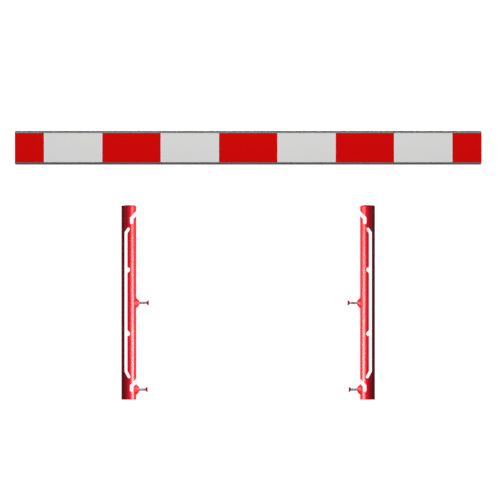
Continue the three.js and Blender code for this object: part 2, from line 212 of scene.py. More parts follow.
def cleaned(bm):
    """bm without doubled points and collapsed faces."""
    bmesh.ops.remove_doubles(bm, verts=bm.verts, dist=1e-4)
    bmesh.ops.dissolve_degenerate(bm, edges=bm.edges, dist=1e-5)
    return bm


def bridge(bm, rings):
    """Faces between each closed ring of vertices and the next one."""
    for a, b in zip(rings, rings[1:]):
        for k in range(len(a)):
            after = (k + 1) % len(a)
            bm.faces.new((a[k], a[after], b[after], b[k]))


def turned(rows_at, axis, segments, shell=False):
    """A bmesh turned about an axis. rows_at(angle) lists its (radius, height) points."""
    bm = bmesh.new()
    columns = []
    for k in range(segments):
        angle = 2 * math.pi * k / segments
        c, s = math.cos(angle), math.sin(angle)
        column = []
        for radius, height in rows_at(angle):
            across = (radius * c, radius * s)
            places = {"x": (height, *across), "y": (across[0], height, -across[1]), "z": (*across, height)}
            column.append(bm.verts.new(places[axis]))
        columns.append(column)
    rows = len(columns[0])
    for k in range(segments):
        here, ahead = columns[k], columns[(k + 1) % segments]
        for j in range(rows if shell else rows - 1):
            i = (j + 1) % rows
            bm.faces.new((here[j], ahead[j], ahead[i], here[i]))
    return cleaned(bm)


def profile(corners, steps=2, closed=False):
    return [tuple(p) for p in rounded(corners, steps, closed)]


def turned_line(corners, axis, segments, steps=3, shell=False):
    """A bmesh turned from one line of corners."""
    line = profile(corners, steps, shell)
    return turned(lambda angle: line, axis, segments, shell)


def hexagonal(angle, across_flats, softness):
    """The radius of a hexagon with slightly rounded corners, at an angle."""
    total = sum(abs(math.cos(angle - (k + 0.5) * math.pi / 3)) ** softness for k in range(3))
    return across_flats / 2 / total ** (1 / softness)


SCREW_RADIUS, THREAD_BORE = 6.0, 6.3
PITCH, THREAD_STEPS = 1.75, 28
ROOT_RADIUS = SCREW_RADIUS - 0.6134 * PITCH
# One turn of the thread: the share of the pitch along it and the radius there.
THREAD = ((0.0, SCREW_RADIUS), (0.125, SCREW_RADIUS), (0.4375, ROOT_RADIUS), (0.6875, ROOT_RADIUS))


def threaded(axis, start, end, tip_start, tip_end):
    """A threaded rod from start to end along an axis, with cone tips of the given lengths, 0 for none."""
    turns = math.ceil((end - start) / PITCH) + 2

    def point(height, reach, angle):
        height = min(max(height, start), end)
        reach = min(reach, SCREW_RADIUS - tip_start + height - start if tip_start else reach)
        reach = min(reach, SCREW_RADIUS - tip_end + end - height if tip_end else reach)
        c, s = reach * math.cos(angle), reach * math.sin(angle)
        return (height, c, s) if axis == "x" else (c, height, -s)

    bm = bmesh.new()
    rows = [[bm.verts.new(point(start, 0, 0))] * (THREAD_STEPS + 1)]
    for turn in range(-1, turns):
        for offset, reach in THREAD:
            row = []
            for k in range(THREAD_STEPS + 1):
                height = start + PITCH * (turn + offset + k / THREAD_STEPS)
                radius = reach if start <= height <= end else ROOT_RADIUS
                row.append(bm.verts.new(point(height, radius, 2 * math.pi * k / THREAD_STEPS)))
            rows.append(row)
    rows.append([bm.verts.new(point(end, 0, 0))] * (THREAD_STEPS + 1))
    for row, ahead in zip(rows, rows[1:]):
        for k in range(THREAD_STEPS):
            corners = list(dict.fromkeys((row[k], row[k + 1], ahead[k + 1], ahead[k])))
            if len(corners) > 2:
                bm.faces.new(corners)
    cleaned(bm)
    bmesh.ops.holes_fill(bm, edges=[e for e in bm.edges if e.is_boundary], sides=4)
    return bm


def joined(first, *others):
    """One bmesh of several."""
    for other in others:
        mesh = as_mesh("part", other)
        first.from_mesh(mesh)
        bpy.data.meshes.remove(mesh)
    return first


def discard(stock):
    """Removes an object and its mesh."""
    mesh = stock.data
    bpy.data.objects.remove(stock)
    bpy.data.meshes.remove(mesh)


def modified(bm, modifiers):
    """The bmesh that some modifiers, given as (type, settings), make of bm."""
    stock = linked("stock", as_mesh("stock", bm))
    for kind, settings in modifiers:
        modifier = stock.modifiers.new(kind.lower(), kind)
        for key, value in settings.items():
            setattr(modifier, key, value)
    graph = bpy.context.evaluated_depsgraph_get()
    result = bpy.data.meshes.new_from_object(stock.evaluated_get(graph))
    discard(stock)
    out = bmesh.new()
    out.from_mesh(result)
    bpy.data.meshes.remove(result)
    return out


# ---- materials


class Finish:
    """A node material, whose name is also its slot's. The methods add nodes and return output sockets."""

    def __init__(self, name):
        self.material = bpy.data.materials.new(name)
        self.material.use_nodes = True
        self.tree = self.material.node_tree
        self.surface = self.tree.nodes["Principled BSDF"]
        self.place = self.tree.nodes.new("ShaderNodeTexCoord").outputs["Object"]

    def feed(self, socket, value):
        """Links a socket to an output, or sets its value."""
        if isinstance(value, bpy.types.NodeSocket):
            self.tree.links.new(value, socket)
        else:
            socket.default_value = value

    def node(self, kind, inputs, **settings):
        made = self.tree.nodes.new("ShaderNode" + kind)
        for key, value in settings.items():
            setattr(made, key, value)
        for key, value in inputs.items():
            self.feed(made.inputs[key], value)
        return made

    def stretched(self, scale):
        return self.node("Mapping", {"Vector": self.place, "Scale": scale}).outputs[0]

    def noise(self, scale, detail=3.0, roughness=0.5, where=None):
        inputs = {"Vector": where or self.place, "Scale": scale, "Detail": detail, "Roughness": roughness}
        return self.node("TexNoise", inputs).outputs["Fac"]

    def math(self, operation, *inputs):
        return self.node("Math", dict(enumerate(inputs)), operation=operation).outputs[0]

    def vector(self, operation, *inputs, socket="Vector"):
        return self.node("VectorMath", dict(enumerate(inputs)), operation=operation).outputs[socket]

    def spread(self, value, low, high, to_low, to_high):
        inputs = {"Value": value, "From Min": low, "From Max": high, "To Min": to_low, "To Max": to_high}
        return self.node("MapRange", inputs).outputs["Result"]

    def patches(self, to_low, to_high, *noise):
        """Noise spread between two values."""
        return self.spread(self.noise(*noise), 0.3, 0.7, to_low, to_high)

    def mixed(self, share, one, other):
        return self.node("Mix", {0: share, 6: one, 7: other}, data_type="RGBA").outputs[2]

    def bump(self, height, distance, strength, normal=None):
        inputs = {"Height": height, "Distance": distance, "Strength": strength}
        if normal:
            inputs["Normal"] = normal
        return self.node("Bump", inputs).outputs[0]

    def set(self, **values):
        for key, value in values.items():
            self.feed(self.surface.inputs[key.replace("_", " ")], value)
        return self


def powder_coat(name, colour, dark, roughness):
    """Sprayed and baked paint: a fine orange peel under a gloss, with a little unevenness of colour."""
    f = Finish(name)
    peel = f.bump(f.noise(420, 2, 0.4), 0.00006, 0.16)
    fine = f.bump(f.noise(1600, 2), 0.00002, 0.15, peel)
    cloud = f.patches(0.0, 1.0, 9)
    shade = f.mixed(cloud, dark, colour)
    specks = f.spread(f.noise(900, 1), 0.70, 0.78, 0.0, 0.10)
    f.set(Base_Color=f.mixed(specks, shade, (0.30, 0.01, 0.02, 1)), Normal=fine)
    f.set(Roughness=f.patches(roughness - 0.03, roughness + 0.05, 60, 4))
    f.set(Coat_Weight=0.14, Coat_Roughness=0.18, Coat_Normal=peel)
    f.set(Specular_IOR_Level=0.36)
    return f.material


def moulded(name, colour, roughness):
    """Injection-moulded plastic: a fine spark-eroded grain and a soft sheen."""
    f = Finish(name)
    grain = f.bump(f.noise(2200, 3, 0.6), 0.00004, 0.5)
    cloud = f.patches(0.88, 1.06, 30)
    shade = f.node("HueSaturation", {"Value": cloud, "Color": colour}).outputs[0]
    rough = f.patches(roughness - 0.05, roughness + 0.08, 140)
    return f.set(Base_Color=shade, Roughness=rough, Normal=grain).material


def zinc():
    """Bright zinc plate: faintly blue, with soft patches and rubbed crests."""
    f = Finish("zinc_plate")
    patch = f.spread(f.noise(70, 4, 0.6), 0.35, 0.65, 0.0, 1.0)
    shade = f.mixed(patch, (0.66, 0.69, 0.73, 1), (0.84, 0.86, 0.88, 1))
    warm = f.spread(f.noise(28, 2), 0.52, 0.72, 0.0, 0.35)
    f.set(Base_Color=f.mixed(warm, shade, (0.80, 0.77, 0.66, 1)), Metallic=0.80)
    f.set(Roughness=f.patches(0.24, 0.42, 260, 4))
    f.set(Normal=f.bump(f.noise(1800, 3), 0.00003, 0.4))
    return f.material


def aluminium():
    """Extruded aluminium: long die lines along the profile, a dull oxide film and small rubs."""
    f = Finish("mill_aluminium")
    lines = f.noise(1, 5, 0.65, f.stretched((1.5, 1400, 1400)))
    broad = f.noise(1, 3, 0.5, f.stretched((0.8, 220, 220)))
    grey = f.mixed(f.spread(broad, 0.3, 0.7, 0.0, 1.0), (0.30, 0.31, 0.315, 1), (0.40, 0.41, 0.415, 1))
    rubs = f.spread(f.noise(1, 4, 0.6, f.stretched((14, 300, 300))), 0.62, 0.74, 0.0, 0.2)
    f.set(Base_Color=f.mixed(rubs, grey, (0.56, 0.57, 0.58, 1)), Metallic=0.85)
    f.set(Roughness=f.spread(lines, 0.3, 0.7, 0.34, 0.52))
    f.set(Normal=f.bump(lines, 0.00004, 0.5))
    return f.material


FILM_CELL = 0.0034


def film(name, colour, deep, edge=None):
    """Retroreflective sheeting: a clear gloss skin over a honeycomb of sealed cells of glass beads.
    edge, if given, is the colour of a painted highlight: a thin band along both ends of the sheet.
    """
    f = Finish(name)
    step, half = (1.0, 1.0, math.sqrt(3)), (0.5, 0.5, math.sqrt(3) / 2)
    flat = f.vector("MULTIPLY", f.place, (1 / FILM_CELL, 0, 1 / FILM_CELL))

    def from_centre(place):
        """How far and which way a place lies from the nearest cell centre of one grid."""
        wrapped = f.vector("WRAP", place, (0, 0, 0), step)
        way = f.vector("MULTIPLY", f.vector("SUBTRACT", wrapped, half), (1, 0, 1))
        return f.vector("LENGTH", way, socket="Value"), way

    size_a, one = from_centre(flat)
    size_b, two = from_centre(f.vector("SUBTRACT", flat, half))
    share = {0: f.math("LESS_THAN", size_a, size_b), 4: two, 5: one}
    nearer = f.node("Mix", share, data_type="VECTOR").outputs[1]
    away = f.vector("ABSOLUTE", nearer)
    slant = f.vector("DOT_PRODUCT", away, (0.5, 0, math.sqrt(3) / 2), socket="Value")
    across = f.node("SeparateXYZ", {0: away}).outputs["X"]
    hexagon = f.math("MAXIMUM", slant, across)
    seal = f.spread(hexagon, 0.42, 0.47, 0.0, 1.0)
    beads = f.patches(0.0, 1.0, 2600, 2, 0.7)
    shade = f.mixed(f.math("MULTIPLY", beads, 0.35), colour, deep)
    shade = f.mixed(f.math("MULTIPLY", seal, 0.22), shade, deep)
    # Painted highlight: a thin pale band in the colour edge along both ends of the sheet, where the red and
    # white fields meet.
    if edge:
        x = f.node("SeparateXYZ", {0: f.place}).outputs["X"]
        turn = f.math("FRACT", f.math("MULTIPLY_ADD", x, 4.0, 0.5))
        near = f.math("MINIMUM", turn, f.math("SUBTRACT", 1.0, turn))
        shade = f.mixed(f.spread(near, 0.0160, 0.0185, 1.0, 0.0), shade, edge)
    f.set(Base_Color=shade, Roughness=f.spread(beads, 0.0, 1.0, 0.50, 0.62))
    f.set(Normal=f.bump(f.math("MULTIPLY", seal, -1.0), 0.00004, 0.35))
    f.set(Coat_Weight=0.02, Coat_Roughness=0.16, Coat_Normal=f.bump(f.noise(30, 2), 0.0006, 0.08))
    f.set(Specular_IOR_Level=0.05)
    return f.material


RED_COAT = powder_coat("red_powder_coat", (0.74, 0.002, 0.024, 1), (0.66, 0.001, 0.018, 1), 0.32)
RED_CAP = moulded("red_cap_plastic", (0.72, 0.002, 0.024, 1), 0.36)
ZINC = zinc()
ALUMINIUM = aluminium()
FILM_RED = film("film_red", (0.74, 0.0006, 0.0006, 1), (0.56, 0.0004, 0.0004, 1))
# The white film's last colour is the pale cyan of the painted highlight along its ends.
FILM_WHITE = film("film_white", (0.80, 0.795, 0.79, 1), (0.66, 0.66, 0.66, 1), (0.74, 0.86, 0.87, 1))
DARK = moulded("dark_plastic", (0.045, 0.047, 0.050, 1), 0.48)

# ---- post tubes

TUBE_RADIUS, BORE_RADIUS = 31.75, 28.75
TUBE_LENGTH = (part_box("left_post_tube")[1].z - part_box("left_post_tube")[0].z) / MM
EDGE = 0.55
COLUMNS = 96
CLEAR_OF_SLOT = 0.9
HOLE_RADIUS, HOLE_STEPS = 6.6, 24
SCREW_HEIGHTS = {level: middle(f"left_{level}_screw_shank").z for level in ("middle", "low")}
POST_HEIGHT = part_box("left_post_cap")[1].z / MM

J_HALF, J_SEAT, J_RISE = 7.5, 12.0, 18.0
J_LEAN = math.tan(math.radians(46))
J_HEIGHTS = (760.0, 40.0)
NEAR_MOUTH = (0.35, 1.1, 2.4, 4.2)
LONG_HALF, LONG_AT = 6.5, -12.3
LONG_LOW, LONG_HIGH = 121.5, 715.5
LOW_RUN, HIGH_RUN = Vector((12.7, -24)), Vector((10.2, 15.5))
NOTCH_HALF, NOTCH_AT, NOTCH_FLAT = 8.0, -2.9, 2.0
NOTCH_HIGH, NOTCH_LOW = 566.6, 273.6


def j_outline(seat):
    """The edge of a J-slot as (across, up), from its upper mouth round the seat to its lower mouth."""
    out = TUBE_RADIUS
    drop = J_HALF / math.cos(math.atan(J_LEAN))
    bend = seat + J_RISE
    left, right = J_SEAT - J_HALF, J_SEAT + J_HALF

    def slanted(u, sign):
        return bend + (u - J_SEAT) * J_LEAN + sign * drop

    corners = [
        (out, slanted(out, 1), 0), (left, slanted(left, 1), 5),
        (left, seat - J_HALF, J_HALF - 0.01), (right, seat - J_HALF, J_HALF - 0.01),
        (right, slanted(right, -1), 2.2), (out, slanted(out, -1), 0),
    ]
    line = rounded(corners, 10, closed=False)
    dense = divided(line, 6, closed=False)

    def mouth(inner, sign):
        """Extra points close to the mouth, where the tube's surface curves away fast."""
        return [Vector((out - d, slanted(out - d, sign))) for d in NEAR_MOUTH if out - d > inner.x + 0.3]

    first, last = mouth(dense[1], 1), mouth(dense[-2], -1)
    return [dense[0], *first, *dense[1:-1], *reversed(last), dense[-1]]


def long_outline():
    """The edge of the long slot with its two notches, counter-clockwise."""
    right = LONG_AT + LONG_HALF
    full = LONG_HALF - 0.01

    def slanted_end(height, run):
        """The corners of a slanted end, from the slot's left side round its tip to the right side."""
        way = run.normalized()
        side = Vector((-way.y, way.x)) * math.copysign(LONG_HALF, -way.y)
        foot = Vector((LONG_AT, height))
        tip = foot + run + way * LONG_HALF
        bends = []
        for sign in (-1, 1):
            start = foot + side * sign
            u = LONG_AT + sign * LONG_HALF
            bends.append((u, start.y + (u - start.x) * way.y / way.x))
        places = (bends[0], tip - side, tip + side, bends[1])
        return [(*place, radius) for place, radius in zip(places, (3, full, full, 2))]

    def notch(square, sign):
        """A square side, a round end and a side at 45 degrees, below the square one if sign is 1."""
        tip = NOTCH_AT + NOTCH_HALF
        far = square - sign * (NOTCH_HALF + NOTCH_FLAT)
        lean = math.sqrt(2) * NOTCH_HALF
        line = [
            (right, far - sign * (lean + NOTCH_AT - right), 1.5),
            (tip, far - sign * (lean + NOTCH_AT - tip), NOTCH_HALF),
            (tip, square, NOTCH_HALF),
            (right, square, 1.5),
        ]
        return line if sign > 0 else list(reversed(line))

    notches = [*notch(NOTCH_LOW, -1), *notch(NOTCH_HIGH, 1)]
    low_end, high_end = slanted_end(LONG_LOW, LOW_RUN), slanted_end(LONG_HIGH, HIGH_RUN)
    return divided(rounded([*low_end, *notches, *reversed(high_end)], 9), 9)


class Tube:
    """A slotted tube. Every face keeps the normal of each of its corners."""

    def __init__(self):
        self.points, self.faces, self.normals = [], [], []

    def point(self, *place):
        self.points.append(Vector(place))
        return len(self.points) - 1

    def face(self, *corners):
        """corners are (point, normal) pairs; a point that comes twice counts once."""
        kept = {}
        for index, normal in corners:
            kept.setdefault(index, normal)
        if len(kept) > 2:
            self.faces.append(tuple(kept))
            self.normals.append(kept)

    def radial(self, index, sign=1):
        p = self.points[index]
        return Vector((p.x, p.y, 0)).normalized() * sign

    def slot_ring(self, samples):
        """The rounded edge and the wall of one slot.

        samples are (u, z, side, wall normal), counter-clockwise. Returns the slot's outline on the outer
        and on the bore surface, as unrolled places and points.
        """
        count = len(samples)
        edge, flat = [], []
        for u, z, side, _ in samples:
            u = min(u, TUBE_RADIUS)
            edge.append(Vector((u, side * math.sqrt(TUBE_RADIUS**2 - u * u), z)))
            flat.append(Vector((side * TUBE_RADIUS * math.acos(u / TUBE_RADIUS), z)))
        shared, snaps, rows, outer, inner = {}, [], [], [], {}
        for i, (_, _, side, wall) in enumerate(samples):
            ahead, behind = (i + 1) % count, i - 1
            along = (flat[ahead] - flat[behind]).normalized()
            unrolled = flat[i] + Vector((along.y, -along.x)) * EDGE
            turn = unrolled.x / TUBE_RADIUS
            top = Vector((TUBE_RADIUS * math.cos(turn), TUBE_RADIUS * math.sin(turn), unrolled.y))
            inward = wall.cross((edge[ahead] - edge[behind]).normalized())
            if inward.dot(Vector((edge[i].x, edge[i].y, 0))) > 0:
                inward = -inward
            foot = edge[i] + inward * EDGE
            rows.append([self.point(*top)])
            for part in (1 / 3, 2 / 3):
                a, b, c = (1 - part) ** 2, 2 * part * (1 - part), part * part
                rows[-1].append(self.point(*(top * a + edge[i] * b + foot * c)))
            rows[-1].append(self.point(*foot))
            outer.append((unrolled, rows[-1][0]))
            if side == 0:
                rows[-1].append(rows[-1][3])
                continue
            taken = any(abs(z - foot.z) < 1 for z, at in snaps if at == side)
            snapped = abs(foot.x - BORE_RADIUS) < 0.5 and not taken
            if snapped:
                snaps.append((foot.z, side))
            if snapped or foot.x >= BORE_RADIUS:
                key = (round(foot.x, 3), round(foot.z, 3))
                if key not in shared:
                    u = BORE_RADIUS if snapped else foot.x
                    z = foot.z + (u - foot.x) * (J_LEAN if snapped else 0)
                    shared[key] = self.point(u, 0, z)
                rows[-1].append(shared[key])
                if snapped:
                    inner.setdefault(shared[key], Vector((0, self.points[shared[key]].z)))
            else:
                place = self.point(foot.x, side * math.sqrt(BORE_RADIUS**2 - foot.x**2), foot.z)
                rows[-1].append(place)
                turn = math.acos(foot.x / BORE_RADIUS)
                inner[place] = Vector((side * BORE_RADIUS * turn, foot.z))
        for i in range(count):
            here, ahead = rows[i], rows[(i + 1) % count]
            walls = samples[i][3], samples[(i + 1) % count][3]
            for j in range(4):
                quad = []
                for row, k, wall in ((here, j, 0), (ahead, j, 1), (ahead, j + 1, 1), (here, j + 1, 0)):
                    share = min(k, 3) / 3
                    normal = self.radial(row[0]) * (1 - share) + walls[wall] * share
                    quad.append((row[k], normal.normalized()))
                self.face(*quad)
        return outer, [(place, point) for point, place in inner.items()]

    def hole_ring(self, radius, height):
        """A round hole along X through the inner side of the tube."""
        rims, walls = ([], []), []
        for k in range(HOLE_STEPS):
            angle = 2 * math.pi * k / HOLE_STEPS
            y, z = radius * math.cos(angle), radius * math.sin(angle)
            walls.append(Vector((0, -y, -z)).normalized())
            for around, rim in zip((TUBE_RADIUS, BORE_RADIUS), rims):
                place = Vector((around * math.asin(y / around), height + z))
                rim.append((place, self.point(math.sqrt(around**2 - y * y), y, height + z)))
        for k in range(-1, HOLE_STEPS - 1):
            (a, b), (c, d) = ((rim[k][1], rim[k + 1][1]) for rim in rims)
            self.face((a, walls[k]), (b, walls[k + 1]), (d, walls[k + 1]), (c, walls[k]))
        return rims

    def surface(self, radius, loops, low, high, step, sign):
        """Covers the outer surface (sign 1) or the bore (sign -1) between two heights, round the loops."""
        girth = 2 * math.pi * radius
        rows = max(2, round((high - low) / step))
        places, ids, edges, border = [], [], [], {}

        def at(k, j):
            """The unrolled place in column k and row j."""
            return girth * (k / COLUMNS - 0.5), low + (high - low) * j / rows

        def on_tube(a, z):
            return self.point(radius * math.cos(a / radius), radius * math.sin(a / radius), z)

        def put(a, z, index):
            places.append((a, z))
            ids.append(index)
            return len(places) - 1

        def border_line(cells):
            """Joins cells on the border by edges, and returns their points."""
            for k, j in cells:
                if (k, j) not in border:
                    border[k, j] = put(*at(k, j), seam[j] if k in (0, COLUMNS) else on_tube(*at(k, j)))
            line = [border[cell] for cell in cells]
            edges.extend(zip(line, line[1:]))
            return [ids[i] for i in line]

        seam = [on_tube(*at(0, j)) for j in range(rows + 1)]
        foot, crown = (border_line([(k, j) for k in range(COLUMNS + 1)]) for j in (0, rows))
        for k in (0, COLUMNS):
            border_line([(k, j) for j in range(rows + 1)])
        for loop in loops:
            own = [put(*place, index) for place, index in loop]
            edges.extend(zip(own, own[1:] + own[:1]))
        outlines = [np.array([tuple(place) for place, _ in loop]) for loop in loops]
        grid = np.array([at(k, j) for j in range(1, rows) for k in range(1, COLUMNS)])
        keep = np.ones(len(grid), bool)
        for outline in outlines:
            near = in_box_of(grid, outline, 2)
            too_near = distance_to(grid[near], outline) < CLEAR_OF_SLOT
            keep[near[too_near | is_inside(grid[near], outline)]] = False
        for a, z in grid[keep]:
            put(a, z, on_tube(a, z))
        flat, _, triangles, origin, _, _ = delaunay_2d_cdt([Vector(p) for p in places], edges, [], 0, 1e-6)
        index_of = [ids[found[0]] if found else on_tube(*place) for place, found in zip(flat, origin)]
        triangles = np.array(triangles)
        centres = np.array([tuple(p) for p in flat])[triangles].mean(axis=1)
        gone = np.zeros(len(triangles), bool)
        for outline in outlines:
            near = in_box_of(centres, outline)
            gone[near] |= is_inside(centres[near], outline)
        for triangle in triangles[~gone]:
            self.face(*((index_of[c], self.radial(index_of[c], sign)) for c in triangle))
        return foot[:-1], crown[:-1]

    def mesh(self, name, place, turn):
        """The tube's mesh, with its corners' normals turned half a turn about Z if turn is -1."""
        bm = bmesh.new()
        verts = [bm.verts.new(place(p) * MM) for p in self.points]
        kept = []
        for face, normals in zip(self.faces, self.normals):
            try:
                bm.faces.new([verts[i] for i in face])
            except ValueError:
                continue
            kept.append(normals)
        bm.faces.index_update()
        outward(bm)
        bm.verts.index_update()
        mesh = as_mesh(name, bm)
        mesh.shade_smooth()
        custom = []
        for polygon in mesh.polygons:
            for loop in polygon.loop_indices:
                normal = kept[polygon.index][mesh.loops[loop].vertex_index]
                custom.append((turn * normal.x, turn * normal.y, normal.z))
        mesh.normals_split_custom_set(custom)
        return mesh


def wall_samples(line, closed):
    """(across, up, wall normal) for each point of a slot's outline."""
    samples = []
    last = len(line) - 1
    for i, p in enumerate(line):
        before = line[i - 1] if closed or i else p
        ahead = line[(i + 1) % len(line)] if closed or i < last else p
        along = (ahead - before).normalized()
        samples.append((p.x, p.y, Vector((-along.y, 0, along.x))))
    return samples


def slotted_tube():
    tube = Tube()
    rings = []

    def on(side, samples):
        return [(u, z, side, wall) for u, z, wall in samples]

    for seat in J_HEIGHTS:
        line = wall_samples(j_outline(seat), closed=False)
        rings.append(on(0, line[:1]) + on(-1, line[1:-1]) + on(0, line[-1:]) + on(1, line[-2:0:-1]))
    line = wall_samples(long_outline(), closed=True)
    rings += [on(side, line[::-side]) for side in (-1, 1)]
    cuts = [tube.slot_ring(ring) for ring in rings]
    cuts += [tube.hole_ring(HOLE_RADIUS, height) for height in SCREW_HEIGHTS.values()]
    outer, inner = zip(*cuts)
    skin = tube.surface(TUBE_RADIUS, outer, EDGE, TUBE_LENGTH - EDGE, 8, 1)
    bore = tube.surface(BORE_RADIUS, inner, 0, TUBE_LENGTH, 16, -1)
    for ring, lining, z, sign in ((skin[0], bore[0], 0, -1), (skin[1], bore[1], TUBE_LENGTH, 1)):
        rows = [ring]
        for part in (1 / 3, 2 / 3, 1):
            angle = part * math.pi / 2
            radius = TUBE_RADIUS - EDGE * (1 - math.cos(angle))
            height = z - sign * EDGE * (1 - math.sin(angle))
            rows.append([tube.point(*(tube.radial(i) * radius + UP * height)) for i in ring])
        rows.append(lining)
        for level, (here, ahead) in enumerate(zip(rows, rows[1:])):
            tilts = min(level, 3) / 3 * math.pi / 2, min(level + 1, 3) / 3 * math.pi / 2
            for k in range(COLUMNS):
                after = (k + 1) % COLUMNS
                quad = []
                for row, i, tilt in ((here, k, 0), (here, after, 0), (ahead, after, 1), (ahead, k, 1)):
                    up = UP * sign * math.sin(tilts[tilt])
                    quad.append((row[i], tube.radial(row[i]) * math.cos(tilts[tilt]) + up))
                tube.face(*quad)
    return tube


tube = slotted_tube()
for side, turn in SIDES.items():
    mesh = tube.mesh(side + "_post", turned_to(POST_AXIS[side], turn), turn)
    show(side + "_post", mesh, RED_COAT, "posts", side + "_post_tube")

# ---- caps, weld nuts, welds and clamp screws

CAP_RIM = TUBE_LENGTH + 0.3
CAP_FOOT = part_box("left_post_cap")[0].z / MM
CAP_SHOULDER = 9.0
HEX = 18.0
NUT_START = TUBE_RADIUS + 0.3
NUT_END = NUT_START + 13.0
WELD_BASE, WELD_TOP, WELD_HEIGHT = 23.0, 12.8, 10.5
WELD_INNER, WELD_SINK = 10.6, 0.8
HEAD_RADIUS, HEAD_LENGTH, SOCKET = 11.8, 9, 8


def cap():
    """A hollow push-in stem under a crown with a wide rounded shoulder."""
    stem, steps = BORE_RADIUS - 0.5, 14
    top = POST_HEIGHT - 0.2
    rise = top - CAP_RIM - 0.4
    shoulder = []
    for k in range(steps + 1):
        angle = k / steps * math.pi / 2
        radius = TUBE_RADIUS - CAP_SHOULDER * (1 - math.cos(angle))
        shoulder.append((radius, top - rise * (1 - math.sin(angle)), 0))
    foot = [
        (0, CAP_RIM, 0), (stem - 2.5, CAP_RIM, 0.6), (stem - 2.5, CAP_FOOT, 0.3), (stem - 1, CAP_FOOT, 0.3),
        (stem, CAP_FOOT + 1.5, 0.8), (stem, CAP_RIM, 0), (TUBE_RADIUS, CAP_RIM, 0.18),
    ]
    return turned_line([*foot, *shoulder, (8, POST_HEIGHT, 0), (0, POST_HEIGHT, 0)], "z", 96, 8)


def nut_rows(angle, start, end, softness, flange=None):
    """The profile of a hexagonal nut at an angle, chamfered at both ends, or one end above a flange."""
    reach = hexagonal(angle, HEX, softness)
    face = HEX / 2 - 0.45
    fall = max(0.05, (reach - face) * math.tan(math.radians(30)))
    bore, sink = THREAD_BORE, 0.9
    rows = [(bore, start + sink, 0), (bore + sink, start, 0.15)]
    if flange:
        radius, rise = flange
        rows += [(radius, start, 0.5), (radius, start + 1.6, 0.5)]
        rows.append((reach + 0.4, start + rise, 1.2))
    else:
        rows += [(face, start, 0.3), (reach, start + fall, 0.3)]
    rows += [(reach, end - fall, 0.3), (face, end, 0.3), (bore + sink, end, 0.15), (bore, end - sink, 0)]
    return profile(rows)


def weld_rows(angle):
    """A weld bead's profile at an angle: a full fillet that follows the tube's saddle, laid in ripples."""
    across = abs(math.cos(angle))
    toe = WELD_BASE - 3.2 * across**2
    ripple = math.sin(angle * 30 + 1.3 * math.sin(angle * 2))
    wander = 0.35 * math.sin(angle * 3 + 0.7) + 0.25 * math.sin(angle * 7)
    rows = []

    def saddle(radius):
        """The tube's surface at a distance from the screw's axis."""
        return math.sqrt(TUBE_RADIUS**2 - (radius * math.cos(angle)) ** 2)

    for k in range(11):
        part = k / 10
        crown = 0.3 * math.sin(math.pi * part)
        bulge = math.sin(math.pi * min(1, part * 1.15)) ** 0.7 if part < 0.87 else 0
        radius = toe - (toe - WELD_TOP) * part + crown + (0.22 * ripple + wander * 0.4) * bulge
        base = saddle(toe)
        rows.append((min(radius, WELD_BASE), base + (TUBE_RADIUS + WELD_HEIGHT - base) * part))
    top = TUBE_RADIUS + WELD_HEIGHT
    rows += [(WELD_TOP - 0.7, top), (WELD_INNER, top - 0.3)]
    return rows + [(radius, saddle(radius) - WELD_SINK) for radius in (WELD_INNER, toe - 0.6)]


def screw_head_rows(angle, reach):
    """A flared head's profile at an angle, with a hexagon socket. It ends at reach."""
    socket = hexagonal(angle, SOCKET, 60)
    start, rim = reach - HEAD_LENGTH, HEAD_RADIUS
    rows = [
        (0, start, 0), (6, start, 0.4), (8, start + 2.6, 1.2), (rim, reach - 1.7, 0.5), (rim, reach, 0.7),
        (socket + 0.9, reach, 0.3), (socket, reach - 0.8, 0.2),
        (socket, reach - 5, 0.3), (0, reach - 5.6, 0),
    ]
    return profile(rows)


for side, turn in SIDES.items():
    axis = POST_AXIS[side]
    publish(side + "_cap", cap(), turned_to(axis, turn), RED_CAP, "posts", side + "_post_cap")
    for level, height in SCREW_HEIGHTS.items():
        node = f"{side}_{level}"
        low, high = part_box(node + "_screw_head")
        reach = (high.x / MM - axis.x) if turn > 0 else (axis.x - low.x / MM)
        put = turned_to(axis + UP * height, turn)
        nut = turned(lambda a: nut_rows(a, NUT_START, NUT_END, 26), "x", 96, shell=True)
        publish(node + "_nut", nut, put, RED_COAT, "posts", node + "_weld_nut")
        weld = turned(weld_rows, "x", 144, shell=True)
        publish(node + "_weld", weld, put, RED_COAT, "posts", node + "_weld_bead", 60)
        shank = threaded("x", reach - 60, reach - 9.3, 1.4, 0)
        publish(node + "_screw", shank, put, ZINC, node + "_screw", node + "_screw_shank")
        head = turned(lambda a: screw_head_rows(a, reach), "x", 96)
        publish(node + "_head", head, put, RED_COAT, node + "_screw_head", node + "_screw_head")

# ---- hangers

BOARD_BACK = BOARD.y + 10
MOUTH_HALF, CHANNEL_HALF, LIP, CHANNEL_DEPTH = 6.5, 11.5, 2.5, 9.5
CHANNEL_FLOOR = BOARD_BACK - CHANNEL_DEPTH
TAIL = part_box("left_hanger_bolt")[1].y / MM
NUT_BASE = BOARD_BACK + 0.3
FLANGE = (13, 4)  # radius and height
WASHER_HOLE, WASHER_RADIUS = 6.5, 18.5
WASHER_LOW, WASHER_HIGH = (corner.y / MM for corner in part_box("left_washer"))
WING_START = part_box("left_wing_nut")[0].y / MM


def t_head():
    """The bolt's head: a block with rounded edges that fills the channel's width."""
    low, high = (-6, CHANNEL_FLOOR + 0.3, -10.9), (6, CHANNEL_FLOOR + 6.3, 10.9)
    bm = bmesh.new()
    bmesh.ops.create_cube(bm, size=1)
    for vert in bm.verts:
        vert.co = Vector(l + (h - l) * (c + 0.5) for l, h, c in zip(low, high, vert.co))
    return modified(bm, [("BEVEL", {"width": 0.9, "segments": 3, "limit_method": "ANGLE"})])


